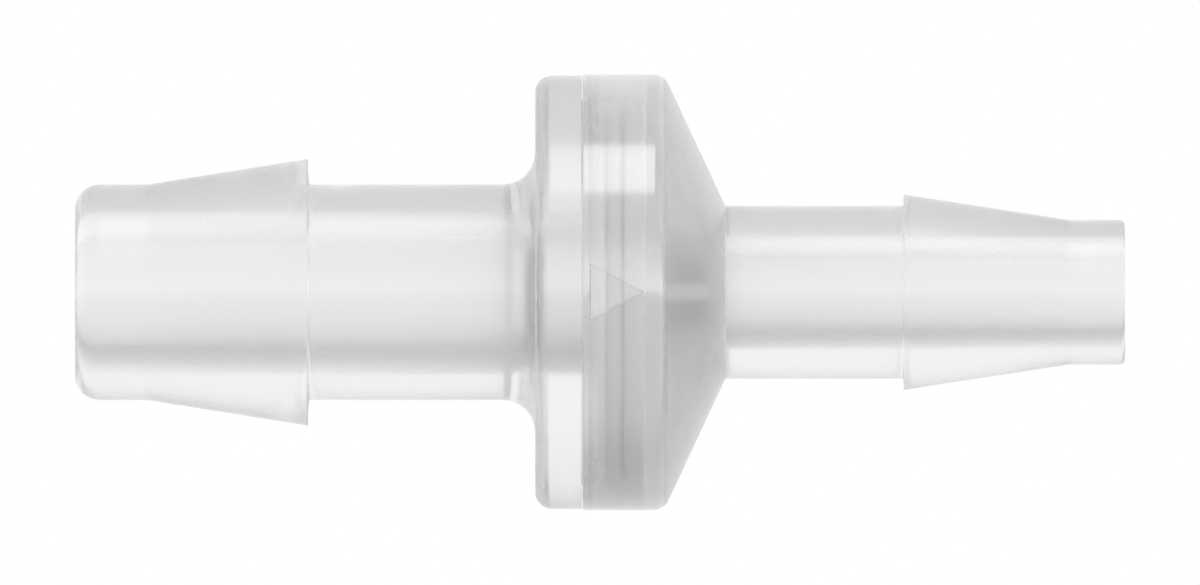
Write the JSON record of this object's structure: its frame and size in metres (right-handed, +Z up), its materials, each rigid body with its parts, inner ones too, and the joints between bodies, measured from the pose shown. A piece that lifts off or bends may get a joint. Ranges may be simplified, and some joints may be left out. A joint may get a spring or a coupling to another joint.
{
  "type": "check valve",
  "caption": "In-line plastic check valve: large hose barb, flanged body with a conical outlet side, small hose barb, and a spring-loaded soft-faced poppet inside.",
  "frame": {"origin": "on the valve's axis, at the centre of the inlet barb's end face, where the supply hose holds the valve", "axes": "+X along the axis with the flow, from the large inlet barb to the small outlet barb; +Z up; the flow arrow is on the -Y side"},
  "size_m": [0.06, 0.025, 0.025],
  "materials": {
    "inlet_polymer": "satin, natural milky translucent",
    "outlet_polymer": "satin, natural milky translucent",
    "cage_polymer": "as moulded, natural",
    "poppet_polymer": "as moulded, natural",
    "retainer_polymer": "as moulded, natural",
    "seal_silicone": "soft, translucent white",
    "o_ring_silicone": "soft, translucent white",
    "spring_steel": "bright drawn wire"
  },
  "bodies": {
    "housing": {"inlet_housing": "inlet_polymer", "outlet_housing": "outlet_polymer", "guide_cage": "cage_polymer", "body_o_ring": "o_ring_silicone", "spring": "spring_steel"},
    "poppet_assembly": {"poppet": "poppet_polymer", "seal_retainer": "retainer_polymer", "poppet_seal": "seal_silicone"}
  },
  "joints": [
    {"name": "poppet_slide", "type": "slide", "parent": "housing", "child": "poppet_assembly", "axis": [1, 0, 0], "range_m": [0, 0.0015], "stiffness_N_per_m": 100, "springref_m": -0.002, "deforming": ["spring"]}
  ]
}
